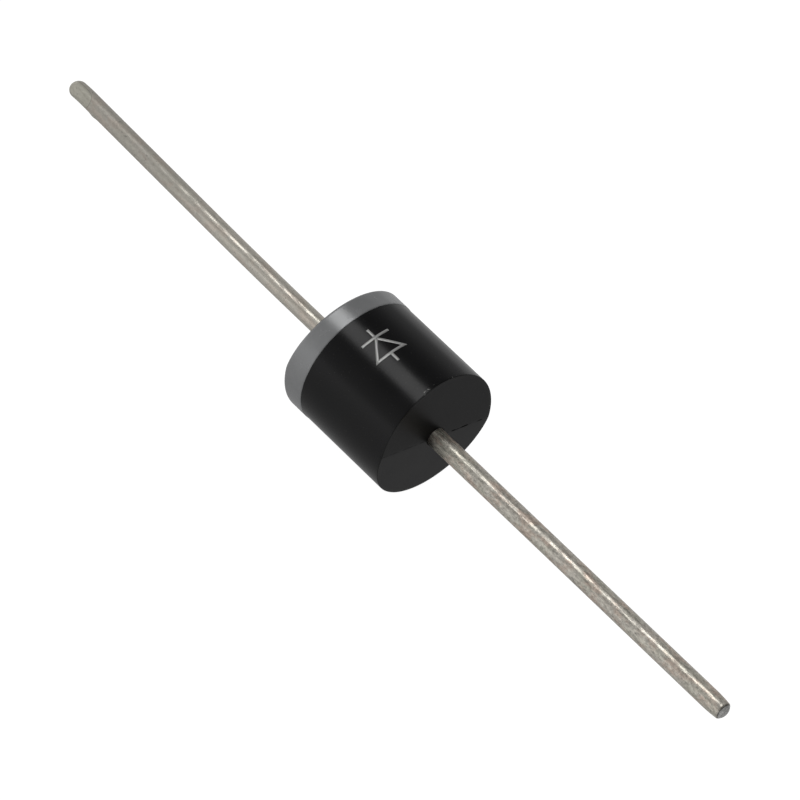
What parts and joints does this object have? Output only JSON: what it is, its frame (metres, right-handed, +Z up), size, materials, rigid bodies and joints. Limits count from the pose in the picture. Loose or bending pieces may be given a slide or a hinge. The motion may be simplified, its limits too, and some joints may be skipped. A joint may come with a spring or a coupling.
{
  "type": "axial rectifier diode",
  "caption": "Round moulded black case with a grey cathode band and a stiff tinned wire out of each end; the cathode wire is slightly bent.",
  "frame": {"origin": "the middle of the case, which is the middle of the chip", "axes": "+X along the wires towards the anode, +Z up, the mould parts on the plane Z = 0"},
  "size_m": [0.0627, 0.0092, 0.0092],
  "materials": {
    "moulding_compound": "satin black moulded epoxy",
    "band_ink": "satin grey printed ink",
    "tinned_copper": "dull mottled tin plating with fine scratches",
    "silicon": "polished dark silicon",
    "solder": "satin solder",
    "silicone_coating": "matt white silicone"
  },
  "bodies": {
    "root": {"epoxy_body": "moulding_compound", "cathode_band": "band_ink", "anode_lead": "tinned_copper", "cathode_lead": "tinned_copper", "silicon_chip": "silicon", "anode_solder": "solder", "cathode_solder": "solder", "junction_coating": "silicone_coating"}
  },
  "joints": []
}
